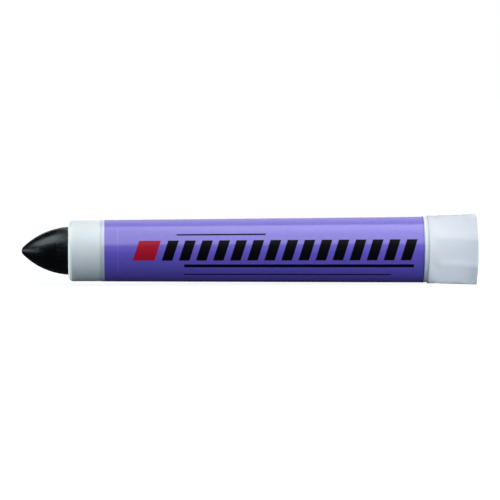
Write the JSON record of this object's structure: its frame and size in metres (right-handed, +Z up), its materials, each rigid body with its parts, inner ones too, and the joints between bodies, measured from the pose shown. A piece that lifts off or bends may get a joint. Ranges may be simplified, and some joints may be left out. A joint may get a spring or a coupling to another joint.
{
  "type": "solid paint marker",
  "caption": "Twist-up marker with an ogive stick of solid paint in a slim tapered barrel, wrapped in a printed film, with an octagonal knob that turns a screw to feed the stick.",
  "frame": {"origin": "centre of the marker's footprint as it lies on one flat of its knob, on the surface it lies on", "axes": "+X along the marker from the tip to the knob, +Z up, -Y the side that the picture shows"},
  "size_m": [0.1234, 0.0188, 0.0188],
  "materials": {
    "white_plastic": "smooth moulded white plastic",
    "purple_film": "printed film with a gloss face",
    "black_paint": "satin face of solid paint",
    "carrier_plastic": "natural moulded plastic",
    "screw_plastic": "natural moulded plastic",
    "seal_rubber": "moulded rubber",
    "bush_plastic": "natural moulded plastic",
    "knob_plastic": "milky translucent plastic"
  },
  "bodies": {
    "barrel": {"barrel": "white_plastic", "label": "purple_film", "bearing_bush": "bush_plastic"},
    "knob": {"twist_knob": "knob_plastic", "feed_screw": "screw_plastic", "seal_ring": "seal_rubber"},
    "feed": {"stick_carrier": "carrier_plastic", "paint_stick": "black_paint"}
  },
  "joints": [
    {"name": "knob_turn", "type": "hinge", "parent": "barrel", "child": "knob", "pos_m": [0, 0, 0.0094], "axis": [-1, 0, 0], "range_deg": [0, 5760]},
    {"name": "stick_feed", "type": "slide", "parent": "barrel", "child": "feed", "axis": [-1, 0, 0], "range_m": [0, 0.064]}
  ],
  "couplings": [
    {"joint": "stick_feed", "follows": "knob_turn", "m_per_rad": 0.00063662}
  ]
}
